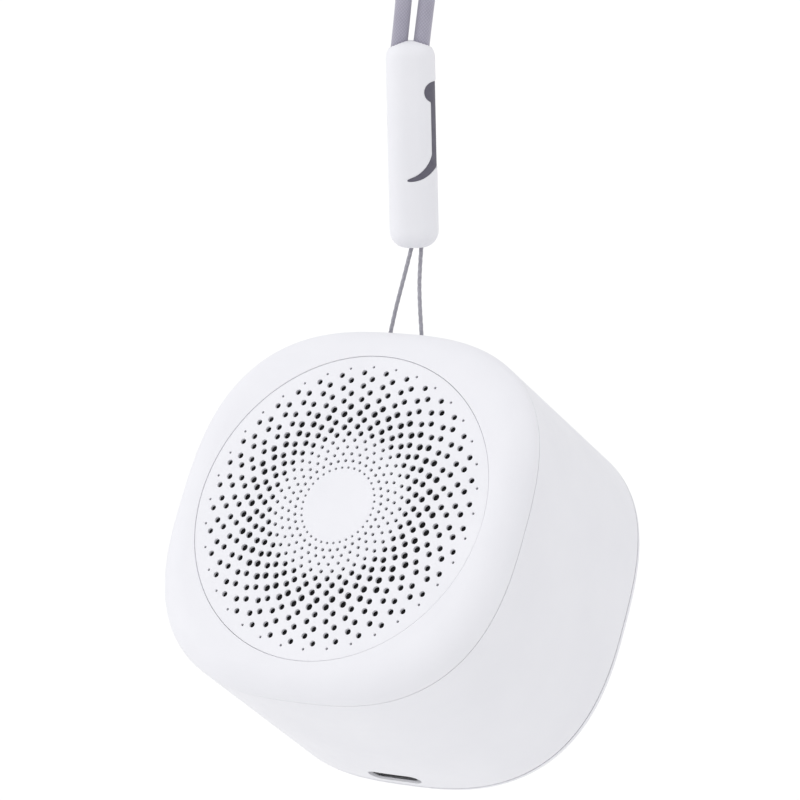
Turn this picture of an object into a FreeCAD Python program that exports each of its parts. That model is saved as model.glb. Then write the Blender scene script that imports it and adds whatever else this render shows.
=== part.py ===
import FreeCAD, Part

import math
import os

# Small hanging speaker with a grille front, a sleeve casing, a rear cover and a wrist strap.
# Millimetres. The speaker is drawn upright in its own axes: X across, Y from the front face
# into the body, Z up. It is then tilted back and hung below the strap, whose loop holds it:
# the origin is the underside of the top of that loop, with +Z up.

V = FreeCAD.Vector

# Casing
HALF_FRONT = 32.2          # half width of the outline at the front seam
HALF_REAR = 32.8           # half width at the rear seam
OUTLINE_POWER = 2.72       # |x|^p + |z|^p = half^p
OUTLINE_POINTS = 32
FRONT_SEAM = 3.93
REAR_SEAM = 42.97
SEAM_GAP = 0.2
REAR_FACE = 46.5
CROWN_FRONT = 5.2          # how far the front crown comes in over its depth
CROWN_REAR = 4.7
CROWN_STEPS = 6
WALL = 2.0
FIT = 0.15                 # clearance between a skirt and the sleeve
CORNER = 19.45             # X and Z of the four casing bosses and their screws

# Grille
RING_UNIT = 23.55          # radius of the last ring of large holes
GRILLE_RADIUS = 26.5
GRILLE_SEAT = 26.56
GRILLE_THICKNESS = 0.5
MESH_THICKNESS = 0.15
GRILLE_DOME = 0.44         # how far the middle stands in front of the last ring
RIM_INSIDE = 24.9
SEAT_DEPTH = 1.35
RING_FIRST = 0.2794        # radii of the rings, in ring units
RING_STEP = 0.0515
RINGS = 15
OUTER_RING = 1.0423
HOLES_PER_RING = 36
RING_TWIST = 0.39          # degrees that each ring turns from the one inside it
RING_STAGGER = 4.0         # degrees that every second ring turns back
HOLE_DIAMETERS = [0.45] + [0.58] * 3 + [0.67, 0.98] + [1.09] * 2 + [1.19] * 2 + [1.04] * 4 + [0.98]
OUTER_HOLE = 0.45

# Front bezel
BEZEL_OPENING = 23.9
BEZEL_BACK = 3.4
FRONT_SKIRT_END = 8.5
SKIRT_WALL = 1.5

# Loudspeaker drive unit
FLANGE_RADIUS = 25.6
GASKET_THICKNESS = 0.5
FLANGE_FRONT = BEZEL_BACK + GASKET_THICKNESS
FLANGE_BACK = FLANGE_FRONT + 1.2
ROLL_RADIUS = 19.3         # middle of the surround's half roll
ROLL_SIZE = 1.5
SURROUND_SKIN = 0.35
CONE_RIM = ROLL_RADIUS - ROLL_SIZE
POLE_RADIUS = 6.5
GAP_RADIUS = 7.4
PLATE_FRONT = 13.2
MAGNET_FRONT = 16.2
MAGNET_BACK = 22.2
YOKE_BACK = 25.2

# Inside, behind the drive unit
BOSS_RADIUS = 2.6
BOSS_FRONT = 28.5
BOSS_REAR = 43.4
PLATE_THICKNESS = 1.5
BATTERY = (33.0, 8.0, 46.0)
BATTERY_FRONT = 29.5
BOARD_FRONT = 41.0
BOARD_BACK = 42.0
BOARD_HALF = 27.0
STANDOFFS = [(-22, -9), (-22, 9), (22, -9), (22, 9)]
BATTERY_PLUG = (-8.0, 23.5)    # X and Z of its middle
LEAD_DIAMETER = 1.0
DRIVER_LEADS = (9.0, 11.5)
LEAD_HEIGHT = -26.5

# USB socket in the bottom of the casing, mouth down
SOCKET_DEPTH = 39.6
SOCKET_SHELL = (8.94, 3.26)
SOCKET_CUT = (10.0, 3.4)
SOCKET_MOUTH = -32.4
SOCKET_TOP = -24.5

# Rear cover and what it carries
COVER_INSIDE = 44.3
PAD_FLOOR = 45.6
PAD_BACK = 46.9
PAD_HALF = 27.2
PAD_INSIDE = 15.5
REAR_SKIRT_END = 40.5
BUTTONS = [("minus", -10.0, 3.0), ("power", 0.0, 4.2), ("plus", 10.0, 3.0)]
BUTTON_BACK = 46.7
LIGHT_HEIGHT = 8.5
MICROPHONE_HEIGHT = -9.0

# Strap
STRAP_LENGTH = 140.0       # from the underside of the loop's top down to the eyelet
TILT = 30.5                # the speaker leans back by this angle as it hangs
STRAP_TURN = 30.7          # the strap's flat side is turned by this angle about Z
EYELET_DEPTH = 5.5
EYELET_HEIGHT = 32.24
EYELET_SPREAD = 3.1        # each mouth stands this far from the middle
TUNNEL_RADIUS = 0.85
STRING_DIAMETER = 0.7
CORD_DIAMETER = 2.7
CONNECTOR = (8.1, 7.0, 34.0)   # width, thickness and length
CONNECTOR_EDGE = 2.9
CONNECTOR_WALL = 1.0
CONNECTOR_END = 2.2
CONNECTOR_FOOT = (1.46, 15.04)
CONNECTOR_LEAN = 1.3
CORE_RECESS = 0.12
NOTCH_RADIUS = 1.73        # the keyhole at the top of the slit
NOTCH_ACROSS = 3.85
NOTCH_HEIGHT = 25.5
CORD_SPREAD = 1.8
STRING_EXITS = (-0.33, 1.15)

# Routes as points (across the strap, towards its front, height above the eyelet)
LEFT_STRING = [(-2.60, -1.54, 0.35), (-1.62, -1.05, 5.0), (-0.20, -0.35, 10.4), (1.14, 0.0, 15.8)]
RIGHT_STRING = [(2.66, 1.54, 0.35), (2.33, 1.00, 5.1), (2.20, 0.35, 10.5), (2.63, 0.0, 15.8)]
WRIST_CORD = [
    (-1.14, 0.0, 47.6), (-0.52, 0.0, 53.3), (0.0, 0.1, 59.6), (-0.6, 0.3, 69.0), (-2.6, 0.5, 83.0),
    (-5.0, 0.4, 100.0), (-6.6, 0.2, 116.5), (-7.35, 0.0, 129.0), (-7.4, 0.0, 137.0),
    (-3.07, 0.0, 141.35), (3.07, 0.0, 141.35), (7.4, 0.0, 137.0), (7.5, 0.0, 128.6),
    (7.25, -0.2, 116.0), (6.6, -0.4, 99.0), (5.6, -0.5, 82.0), (4.7, -0.3, 68.6),
    (3.95, -0.1, 59.4), (3.12, 0.0, 53.2), (2.46, 0.0, 47.6),
]


def outline(half, depth):
    points = []
    for k in range(OUTLINE_POINTS):
        angle = 2 * math.pi * k / OUTLINE_POINTS
        across, up = math.cos(angle), math.sin(angle)
        power = OUTLINE_POWER
        reach = half / (abs(across) ** power + abs(up) ** power) ** (1 / power)
        points.append(V(reach * across, depth, reach * up))
    curve = Part.BSplineCurve()
    curve.interpolate(Points=points, PeriodicFlag=True)
    return Part.Wire([curve.toShape()])


def sleeve_half(depth):
    share = (depth - FRONT_SEAM) / (REAR_SEAM - FRONT_SEAM)
    return HALF_FRONT + share * (HALF_REAR - HALF_FRONT)


def tapered(inset, front, back):
    sections = [outline(sleeve_half(front) - inset, front), outline(sleeve_half(back) - inset, back)]
    return Part.makeLoft(sections, True, True)


def slab(half, front, back):
    return Part.Face(outline(half, front)).extrude(V(0, back - front, 0))


def crown(half, seam, face, inset):
    sections = []
    for k in range(CROWN_STEPS + 1):
        angle = math.pi / 2 * k / CROWN_STEPS
        depth = seam + (face - seam) * math.sin(angle)
        sections.append(outline(half - inset * (1 - math.cos(angle)), depth))
    return Part.makeLoft(sections, True, False)


def disc(radius, front, back, x=0, z=0):
    return Part.makeCylinder(radius, back - front, V(x, front, z), V(0, 1, 0))


def ring(outside, inside, front, back, x=0, z=0):
    return disc(outside, front, back, x, z).cut(disc(inside, front - 1, back + 1, x, z))


def box(x, y, z):
    return Part.makeBox(x[1] - x[0], y[1] - y[0], z[1] - z[0], V(x[0], y[0], z[0]))


def turned(profile):
    """A solid of revolution about Y from (radius, depth) corners."""
    corners = [V(radius, depth, 0) for radius, depth in profile]
    face = Part.Face(Part.makePolygon(corners + corners[:1]))
    return face.revolve(V(0, 0, 0), V(0, 1, 0), 360)


def stadium(width, thickness, low, high, depth):
    """A prism along Z with round ends in X, centred on the given depth."""
    half = (width - thickness) / 2
    radius = thickness / 2
    corners = [V(-half, -radius, 0), V(half, -radius, 0), V(half, radius, 0), V(-half, radius, 0)]
    edges = [
        Part.LineSegment(corners[0], corners[1]).toShape(),
        Part.Arc(corners[1], V(half + radius, 0, 0), corners[2]).toShape(),
        Part.LineSegment(corners[2], corners[3]).toShape(),
        Part.Arc(corners[3], V(-half - radius, 0, 0), corners[0]).toShape(),
    ]
    prism = Part.Face(Part.Wire(edges)).extrude(V(0, 0, high - low))
    prism.translate(V(0, depth, low))
    return prism


def corners(reach):
    return [(x, z) for x in (-reach, reach) for z in (-reach, reach)]


def screw(x, z, head, head_back, head_thickness, shank, length, towards=-1):
    """A pan head screw along Y. The shank runs from the head towards -Y, or +Y when towards is 1."""
    under = head_back + towards * head_thickness
    tip = under + towards * length
    body = disc(head, min(head_back, under), max(head_back, under), x, z)
    body = body.fuse(disc(shank, min(under, tip), max(under, tip), x, z))
    slot_end = head_back + towards * head_thickness / 2
    slot = box((x - head, x + head), sorted((head_back, slot_end)), (z - 0.2, z + 0.2))
    return body.cut(slot).removeSplitter()


def group(shapes):
    return Part.makeCompound(shapes)


# ---------------------------------------------------------------- front

def hole_places():
    """Angle, radius and diameter of each hole in the grille."""
    rings = [(RING_FIRST + RING_STEP * k, HOLE_DIAMETERS[k]) for k in range(RINGS)]
    rings.append((OUTER_RING, OUTER_HOLE))
    for k, (radius, diameter) in enumerate(rings):
        start = 0.3 + RING_TWIST * k - RING_STAGGER * (k % 2)
        for j in range(HOLES_PER_RING):
            angle = math.radians(start + 360 / HOLES_PER_RING * j)
            yield angle, radius * RING_UNIT, diameter


def domed(radius, behind, thickness):
    """A disc of that thickness that follows the grille's dome, that far behind its front."""
    dome_radius = RING_UNIT ** 2 / (2 * GRILLE_DOME) - behind
    centre = dome_centre()
    sheet = disc(radius, -2, 3).common(Part.makeSphere(dome_radius, centre))
    return sheet.cut(Part.makeSphere(dome_radius - thickness, centre))


def dome_centre():
    return V(0, RING_UNIT ** 2 / (2 * GRILLE_DOME) - GRILLE_DOME, 0)


def grille():
    plate = domed(GRILLE_RADIUS, 0, GRILLE_THICKNESS)
    rim = ring(GRILLE_RADIUS, RIM_INSIDE, GRILLE_THICKNESS, SEAT_DEPTH)
    plate = plate.fuse(rim).removeSplitter()
    centre = dome_centre()
    drills = []
    for angle, radius, diameter in hole_places():
        point = V(radius * math.cos(angle), 0, radius * math.sin(angle))
        inward = (centre - point).normalize()
        drills.append(Part.makeCylinder(diameter / 2, 4, point - inward * 2, inward))
    return plate.cut(drills)


def grille_mesh():
    return domed(RIM_INSIDE - 0.1, GRILLE_THICKNESS, MESH_THICKNESS)


def front_bezel():
    skirt_half = HALF_FRONT - WALL - FIT
    body = crown(HALF_FRONT, FRONT_SEAM, 0, CROWN_FRONT)
    body = body.fuse(slab(skirt_half, BEZEL_BACK - 0.5, FRONT_SKIRT_END))
    body = body.cut(slab(skirt_half - SKIRT_WALL, BEZEL_BACK, FRONT_SKIRT_END + 1))
    body = body.cut(disc(GRILLE_SEAT, -1, SEAT_DEPTH))
    body = body.cut(disc(BEZEL_OPENING, -1, BEZEL_BACK + 1))
    body = body.cut(box((-7.5, 7.5), (FRONT_SEAM, FRONT_SKIRT_END + 1), (20, 33)))
    for x, z in corners(CORNER):
        body = body.cut(disc(0.8, 1.9, BEZEL_BACK + 0.1, x, z))
    return body


def seam_seal(seam, direction):
    """A thin gasket in the seam, set in from the casing's surface."""
    front, back = sorted((seam, seam + direction * SEAM_GAP))
    half = sleeve_half(seam)
    return slab(half - 0.25, front, back).cut(slab(half - WALL + 0.05, front - 1, back + 1))


# ---------------------------------------------------------------- drive unit

def driver_gasket():
    return ring(FLANGE_RADIUS, BEZEL_OPENING, BEZEL_BACK, FLANGE_FRONT)


def driver_basket():
    flange = disc(FLANGE_RADIUS, FLANGE_FRONT, FLANGE_BACK)
    for x, z in corners(CORNER):
        flange = flange.fuse(disc(2.5, FLANGE_FRONT, FLANGE_BACK, x, z))
    flange = flange.cut(disc(21.0, 0, 10))
    frame = turned([(21.0, FLANGE_BACK - 0.6), (22.4, FLANGE_BACK - 0.6), (17.2, PLATE_FRONT),
                    (8.4, PLATE_FRONT), (8.4, PLATE_FRONT - 1), (14.6, PLATE_FRONT - 1),
                    (14.6, 11.0), (16.8, 11.0)])
    for k in range(6):
        window = box((-4.2, 4.2), (6.4, 10.4), (10, 26))
        window.rotate(V(0, 0, 0), V(0, 1, 0), 60 * k + 30)
        frame = frame.cut(window)
    basket = flange.fuse(frame)
    for x, z in corners(CORNER):
        basket = basket.cut(disc(0.9, 0, 10, x, z))
    return basket.removeSplitter()


def driver_surround():
    roll = Part.makeTorus(ROLL_RADIUS, ROLL_SIZE, V(0, FLANGE_FRONT, 0), V(0, 1, 0))
    roll = roll.cut(Part.makeTorus(ROLL_RADIUS, ROLL_SIZE - SURROUND_SKIN, V(0, FLANGE_FRONT, 0), V(0, 1, 0)))
    roll = roll.cut(disc(30, FLANGE_FRONT, 10))
    top = FLANGE_FRONT - SURROUND_SKIN
    outer = ring(BEZEL_OPENING - 0.2, ROLL_RADIUS + ROLL_SIZE - 0.1, top, FLANGE_FRONT)
    inner = ring(CONE_RIM + 0.1, CONE_RIM - 1.3, top, FLANGE_FRONT)
    return roll.fuse([outer, inner]).removeSplitter()


def driver_cone():
    return turned([(CONE_RIM - 1.2, FLANGE_FRONT + 0.02), (CONE_RIM - 0.05, FLANGE_FRONT + 0.02),
                   (CONE_RIM - 0.05, 4.2), (CONE_RIM - 0.7, 4.25), (6.95, 10.6), (6.95, 10.0)])


def dust_cap():
    profile = [(0, 7.2), (3, 7.5), (5.4, 8.2), (7.2, 9.35), (6.85, 9.6), (5.2, 8.5), (2.9, 7.8), (0, 7.5)]
    return turned(profile)


def voice_coil():
    return ring(7.15, 6.95, 14.0, 18.4)


def coil_former():
    return ring(6.95, 6.75, 9.7, 18.8)


def driver_spider():
    """A corrugated cone that comes forward from the former to the basket's ledge."""
    waves = [(7.1 + 0.5 * k, 11.9 - 0.073 * k + 0.1 * (-1) ** k) for k in range(15)]
    under = [(radius, depth + 0.15) for radius, depth in reversed(waves)]
    web = turned(waves + under)
    return web.fuse(ring(16.0, 13.6, 10.74, 10.98)).removeSplitter()


def top_plate():
    return ring(15.0, GAP_RADIUS, PLATE_FRONT, MAGNET_FRONT)


def driver_magnet():
    return ring(17.0, 9.5, MAGNET_FRONT, MAGNET_BACK)


def magnet_yoke():
    pole = disc(POLE_RADIUS, PLATE_FRONT - 0.2, MAGNET_BACK)
    return pole.fuse(disc(15.6, MAGNET_BACK, YOKE_BACK)).removeSplitter()


def terminal_tab():
    tab = box((8.0, 12.5), (FLANGE_BACK + 0.8, FLANGE_BACK + 2.4), (-21.6, -16.5))
    return tab.cut(driver_basket())


def driver_screws():
    back = FLANGE_BACK + 1.1
    return group([screw(x, z, 1.6, back, 1.1, 0.78, 3.0) for x, z in corners(CORNER)])


# ---------------------------------------------------------------- casing

def eyelet_block():
    block = box((-7.0, 7.0), (FRONT_SEAM + SEAM_GAP, 8.2), (EYELET_HEIGHT - 5.2, EYELET_HEIGHT))
    return block.common(tapered(0, FRONT_SEAM, 10))


def main_housing():
    front = FRONT_SEAM + SEAM_GAP
    back = REAR_SEAM - SEAM_GAP
    casing = tapered(0, front, back).cut(tapered(WALL, front - 1, back + 1))
    inside = tapered(WALL / 2, front, back)
    for x, z in corners(CORNER):
        boss = disc(BOSS_RADIUS, BOSS_FRONT, BOSS_REAR, x, z)
        rib = box((0, 9), (BOSS_FRONT, REAR_SKIRT_END - 0.5), (-0.6, 0.6))
        rib.rotate(V(0, 0, 0), V(0, 1, 0), -math.degrees(math.atan2(z, x)))
        rib.translate(V(x, 0, z))
        casing = casing.fuse(boss.fuse(rib.common(inside)))
    casing = casing.fuse(eyelet_block())
    middle = V(0, EYELET_DEPTH, EYELET_HEIGHT)
    casing = casing.cut(Part.makeTorus(EYELET_SPREAD, TUNNEL_RADIUS, middle, V(0, 1, 0)))
    for x in (-EYELET_SPREAD, EYELET_SPREAD):
        mouth = V(x, EYELET_DEPTH, EYELET_HEIGHT - 0.55)
        casing = casing.cut(Part.makeCone(TUNNEL_RADIUS, TUNNEL_RADIUS + 0.8, 0.8, mouth))
    casing = casing.cut(stadium(*SOCKET_CUT, -36, -28, SOCKET_DEPTH))
    for x, z in corners(CORNER):
        casing = casing.cut(disc(0.95, BOSS_FRONT - 1, BOSS_FRONT + 6, x, z))
        casing = casing.cut(disc(0.95, BOSS_REAR - 8, BOSS_REAR + 1, x, z))
    return casing.removeSplitter()


def chamber_plate():
    front = BOSS_FRONT - PLATE_THICKNESS
    plate = slab(HALF_FRONT - WALL - 0.1, front, BOSS_FRONT)
    for x, z in corners(CORNER):
        plate = plate.cut(disc(1.2, front - 1, BOSS_FRONT + 1, x, z))
    middle = sum(DRIVER_LEADS) / 2
    return plate.cut(stadium_hole(middle, front - 1, BOSS_FRONT + 1))


def stadium_hole(middle, front, back, grow=0.0):
    """The long hole in the plate that the lead grommet fills."""
    hole = disc(1.3 + grow, front, back, DRIVER_LEADS[0], LEAD_HEIGHT)
    hole = hole.fuse(disc(1.3 + grow, front, back, DRIVER_LEADS[1], LEAD_HEIGHT))
    side = (DRIVER_LEADS[1] - DRIVER_LEADS[0]) / 2
    heights = (LEAD_HEIGHT - 1.3 - grow, LEAD_HEIGHT + 1.3 + grow)
    return hole.fuse(box((middle - side, middle + side), (front, back), heights)).removeSplitter()


def lead_grommet():
    middle = sum(DRIVER_LEADS) / 2
    front = BOSS_FRONT - PLATE_THICKNESS
    body = stadium_hole(middle, front, BOSS_FRONT)
    body = body.fuse(stadium_hole(middle, front - 0.6, front, 0.6))
    for x in DRIVER_LEADS:
        body = body.cut(disc(LEAD_DIAMETER / 2 + 0.03, 0, 40, x, LEAD_HEIGHT))
    return body.removeSplitter()


def plate_gasket():
    half = HALF_FRONT - WALL
    return slab(half + 0.25, BOSS_FRONT - 1.2, BOSS_FRONT - 0.3).cut(slab(half - 0.08, 20, 30))


def plate_screws():
    front = BOSS_FRONT - PLATE_THICKNESS - 1.2
    return group([screw(x, z, 1.9, front, 1.2, 0.93, 5.5, 1) for x, z in corners(CORNER)])


def driver_lead(x):
    middle = LEAD_HEIGHT
    route = [(x, FLANGE_BACK + 2.6, -19.0), (x, 11.5, -20.2), (x, 16.5, -24.0), (x, 23.0, middle + 0.05),
             (x, 31.5, middle), (x, 37.0, middle + 1.0), (x, BOARD_FRONT - 0.3, -22.5)]
    return cord([V(*point) for point in route], LEAD_DIAMETER)


def driver_leads():
    return group([driver_lead(x) for x in DRIVER_LEADS])


# ---------------------------------------------------------------- battery and board

def battery_foam():
    width, _, height = BATTERY
    side, end = width / 2 - 2, height / 2 - 2
    return box((-side, side), (BOSS_FRONT, BATTERY_FRONT), (-end, end))


def battery_cell():
    width, depth, height = BATTERY
    x = (-width / 2, width / 2)
    cell = box(x, (BATTERY_FRONT, BATTERY_FRONT + depth), (-height / 2, height / 2 - 3))
    cell = cell.makeFillet(2.0, [e for e in cell.Edges if abs(e.tangentAt(e.FirstParameter).z) > 0.9])
    folded = box((-width / 2 + 1, width / 2 - 1), (BATTERY_FRONT + 2, BATTERY_FRONT + 6),
                 (height / 2 - 3, height / 2))
    return cell.fuse(folded).removeSplitter()


def battery_strap():
    width, depth, _ = BATTERY
    side = width / 2 + 0.2
    back = BATTERY_FRONT + depth + 0.1
    outer = box((-side - 1, side + 1), (BOSS_FRONT, back + 0.8), (-6, 6))
    outer = outer.fuse(box((-side - 5, side + 5), (BOSS_FRONT, BOSS_FRONT + 1), (-6, 6)))
    return outer.cut(box((-side, side), (BOSS_FRONT - 1, back), (-7, 7))).removeSplitter()


def socket_notch():
    half = SOCKET_SHELL[0] / 2 + 0.1
    return box((-half, half), (BOARD_FRONT - 1, BOARD_BACK + 1), (-30, SOCKET_TOP + 0.1))


def main_board():
    board = slab(BOARD_HALF, BOARD_FRONT, BOARD_BACK).cut(socket_notch())
    for x, z in corners(CORNER):
        board = board.cut(disc(BOSS_RADIUS + 0.4, 40, 43, x, z))
    for x, z in STANDOFFS:
        board = board.cut(disc(0.9, 40, 43, x, z))
    return board


def on_board(x, z, width, height, depth):
    """A part on the front of the board."""
    return box((x - width / 2, x + width / 2), (BOARD_FRONT - depth, BOARD_FRONT),
               (z - height / 2, z + height / 2))


def bluetooth_module():
    return on_board(-9, 15, 13, 10, 1.7)


def amplifier_chip():
    return on_board(8, 14, 6, 6, 0.9)


def board_parts():
    coils = [on_board(x, 5, 4, 4, 1.9) for x in (5, 11)]
    small = [on_board(-14 + 4 * k, 4, 1.6, 0.8, 0.8) for k in range(4)]
    charger = on_board(-8, -8, 4, 4, 0.9)
    return group(coils + small + [charger])


def battery_plug():
    return on_board(*BATTERY_PLUG, 6, 4, 2.2)


def battery_leads():
    leads = []
    middle, height = BATTERY_PLUG
    top = BATTERY[2] / 2
    depth = BATTERY_FRONT + 4
    for x in (middle - 1.2, middle + 1.2):
        route = [(x, depth, top + 0.05), (x, depth, top + 3.1), (x, depth + 3.2, top + 5.3),
                 (x, depth + 6.3, top + 4.4), (x, depth + 6.4, height + 2.05)]
        leads.append(cord([V(*point) for point in route], LEAD_DIAMETER))
    return group(leads)


def board_screws():
    front = BOARD_FRONT - 0.9
    return group([screw(x, z, 1.5, front, 0.9, 0.75, 2.6, 1) for x, z in STANDOFFS])


def tact_switches():
    switches = []
    for _, x, _ in BUTTONS:
        base = box((x - 2, x + 2), (BOARD_BACK, BOARD_BACK + 1.0), (-2, 2))
        switches.append(base.fuse(disc(1.0, BOARD_BACK + 1.0, BOARD_BACK + 1.2, x)))
    return group(switches)


def status_led():
    return box((-0.8, 0.8), (BOARD_BACK, BOARD_BACK + 0.7), (LIGHT_HEIGHT - 0.4, LIGHT_HEIGHT + 0.4))


def microphone():
    height = MICROPHONE_HEIGHT
    return box((-1.4, 1.4), (BOARD_BACK, BOARD_BACK + 0.9), (height - 1, height + 1))


def microphone_gasket():
    return ring(1.5, 0.6, BOARD_BACK + 0.9, COVER_INSIDE, 0, MICROPHONE_HEIGHT)


def usb_shell():
    width, thickness = SOCKET_SHELL
    body = stadium(width, thickness, SOCKET_MOUTH, SOCKET_TOP, SOCKET_DEPTH)
    return body.cut(stadium(width - 0.6, thickness - 0.6, SOCKET_MOUTH - 1, SOCKET_TOP - 0.8, SOCKET_DEPTH))


def usb_tongue():
    width, thickness = SOCKET_SHELL
    heights = (SOCKET_MOUTH + 0.6, SOCKET_TOP - 1.8)
    blade = box((-3.35, 3.35), (SOCKET_DEPTH - 0.35, SOCKET_DEPTH + 0.35), heights)
    base = stadium(width - 0.62, thickness - 0.62, SOCKET_TOP - 2.0, SOCKET_TOP - 0.8, SOCKET_DEPTH)
    return blade.fuse(base).removeSplitter()


def usb_gasket():
    width, thickness = SOCKET_SHELL
    collar = stadium(width + 2.4, thickness + 2.4, -30.2, -28.8, SOCKET_DEPTH)
    return collar.cut(stadium(width + 0.04, thickness + 0.04, -35, -20, SOCKET_DEPTH))


# ---------------------------------------------------------------- rear

def rear_cover():
    skirt_half = sleeve_half(REAR_SKIRT_END) - WALL - FIT
    cover = crown(HALF_REAR, REAR_SEAM, REAR_FACE, CROWN_REAR)
    cover = cover.fuse(slab(skirt_half, REAR_SKIRT_END, COVER_INSIDE + 0.5))
    cover = cover.cut(slab(skirt_half - SKIRT_WALL, REAR_SKIRT_END - 1, COVER_INSIDE))
    cover = cover.cut(pad_shape(0.1, PAD_FLOOR, REAR_FACE + 1))
    for x, z in corners(CORNER):
        cover = cover.fuse(disc(3.0, BOSS_REAR, COVER_INSIDE, x, z))
        cover = cover.cut(disc(1.1, BOSS_REAR - 1, PAD_FLOOR, x, z))
        cover = cover.cut(disc(2.1, COVER_INSIDE - 0.1, PAD_FLOOR + 0.1, x, z))
    for x, z in STANDOFFS:
        cover = cover.fuse(ring(1.7, 0.8, BOARD_BACK, COVER_INSIDE, x, z))
    for _, x, radius in BUTTONS:
        cover = cover.cut(disc(radius + 0.15, COVER_INSIDE - 1, REAR_FACE + 1, x))
    cover = cover.cut(disc(0.85, COVER_INSIDE - 1, REAR_FACE + 1, 0, LIGHT_HEIGHT))
    cover = cover.cut(disc(0.5, COVER_INSIDE - 1, REAR_FACE + 1, 0, MICROPHONE_HEIGHT))
    return cover.cut(box((-6.5, 6.5), (REAR_SKIRT_END - 1, COVER_INSIDE - 0.5), (-32, -20)))


def pad_shape(grow, front, back):
    return slab(PAD_HALF + grow, front, back).cut(disc(PAD_INSIDE - grow, front - 1, back + 1))


def rear_pad():
    return pad_shape(0, PAD_FLOOR, PAD_BACK)


def rear_screws():
    back = PAD_FLOOR - 0.1
    return group([screw(x, z, 1.9, back, 1.2, 0.93, 6.5) for x, z in corners(CORNER)])


def button(x, radius):
    cap = disc(radius, COVER_INSIDE - 0.1, BUTTON_BACK, x)
    rim = [e for e in cap.Edges if abs(e.CenterOfMass.y - BUTTON_BACK) < 0.01]
    cap = cap.makeFillet(0.4, rim)
    flange = disc(radius + 0.7, COVER_INSIDE - 0.5, COVER_INSIDE - 0.1, x)
    return cap.fuse(flange).fuse(disc(1.3, BOARD_BACK + 1.55, COVER_INSIDE - 0.5, x)).removeSplitter()


def light_pipe():
    pipe = disc(0.8, BOARD_BACK + 0.9, REAR_FACE, 0, LIGHT_HEIGHT)
    return pipe.fuse(disc(1.5, COVER_INSIDE - 0.5, COVER_INSIDE, 0, LIGHT_HEIGHT)).removeSplitter()


# ---------------------------------------------------------------- strap

def cord(points, diameter):
    """A round tube along straight runs joined by tangent arcs. Prints its radii."""
    edges = []
    radii = []
    start = points[0]
    for before, corner, after in zip(points, points[1:], points[2:]):
        back = before - corner
        ahead = after - corner
        cut = 0.45 * min(back.Length, ahead.Length)
        back.normalize()
        ahead.normalize()
        turn = math.pi - back.getAngle(ahead)
        radius = cut / math.tan(turn / 2)
        radii.append(radius)
        inwards = (back + ahead).normalize()
        middle = corner + inwards * (radius / math.cos(turn / 2) - radius)
        edges.append(Part.LineSegment(start, corner + back * cut).toShape())
        edges.append(Part.Arc(corner + back * cut, middle, corner + ahead * cut).toShape())
        start = corner + ahead * cut
    edges.append(Part.LineSegment(start, points[-1]).toShape())
    path = Part.Wire(edges)
    circle = Part.Circle(points[0], points[1] - points[0], diameter / 2)
    tube = path.makePipeShell([Part.Wire([circle.toShape()])], True, False)
    share = tube.Volume / (math.pi * diameter ** 2 / 4 * path.Length)
    print("cord %.1f mm long, %.2f thick, volume %.4f, radii %s"
          % (path.Length, diameter, share, " ".join("%.1f" % radius for radius in radii)))
    return tube


def strap_point(across, forward, height):
    turn = math.radians(STRAP_TURN)
    x = across * math.cos(turn) + forward * math.sin(turn)
    y = across * math.sin(turn) - forward * math.cos(turn)
    return V(x, y, height - STRAP_LENGTH)


def strap_cord(route, diameter):
    return cord([strap_point(*point) for point in route], diameter)


def wrist_cord():
    return strap_cord(WRIST_CORD, CORD_DIAMETER)


def connector_blank(inset, edge):
    width, thickness, length = CONNECTOR
    blank = stadium(width - 2 * inset, thickness - 2 * inset, inset, length - inset, 0)
    rims = [e for e in blank.Edges if abs(e.tangentAt(e.FirstParameter).z) < 0.1]
    return blank.makeFillet(edge, rims)


def connector_slot():
    """The keyhole, the slit below it and the curved gap across the front, as one cutter."""
    outer = 5.0
    inner = 3.17
    edges = [
        Part.LineSegment(V(inner, 0, NOTCH_HEIGHT), V(outer, 0, NOTCH_HEIGHT)).toShape(),
        Part.LineSegment(V(outer, 0, NOTCH_HEIGHT), V(outer, 0, 14.7)).toShape(),
        Part.LineSegment(V(outer, 0, 14.7), V(4.3, 0, 14.3)).toShape(),
        Part.Arc(V(4.3, 0, 14.3), V(2.2, 0, 11.8), V(-1.6, 0, 11.2)).toShape(),
        Part.LineSegment(V(-1.6, 0, 11.2), V(-1.6, 0, 11.35)).toShape(),
        Part.Arc(V(-1.6, 0, 11.35), V(1.85, 0, 13.0), V(inner, 0, 15.4)).toShape(),
        Part.LineSegment(V(inner, 0, 15.4), V(inner, 0, NOTCH_HEIGHT)).toShape(),
    ]
    cutter = Part.Face(Part.Wire(edges)).extrude(V(0, 8, 0))
    cutter.translate(V(0, -6.1, 0))
    keyhole = Part.makeCylinder(NOTCH_RADIUS, 8, V(NOTCH_ACROSS, -6.1, NOTCH_HEIGHT), V(0, 1, 0))
    return cutter.fuse(keyhole)


def end_holes():
    length = CONNECTOR[2]
    holes = [Part.makeCylinder(CORD_DIAMETER / 2 + 0.25, 4, V(x, 0, length - 2.0))
             for x in (-CORD_SPREAD, CORD_SPREAD)]
    holes += [Part.makeCylinder(STRING_DIAMETER / 2 + 0.2, 3, V(x, 0, -1.0)) for x in STRING_EXITS]
    return holes


def connector_shell():
    shell = connector_blank(0, CONNECTOR_EDGE)
    width, thickness, length = CONNECTOR
    inside = stadium(width - 2 * CONNECTOR_WALL, thickness - 2 * CONNECTOR_WALL, CONNECTOR_END,
                     length - CONNECTOR_END, 0)
    return shell.cut(inside).cut(connector_slot()).cut(end_holes())


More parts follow.
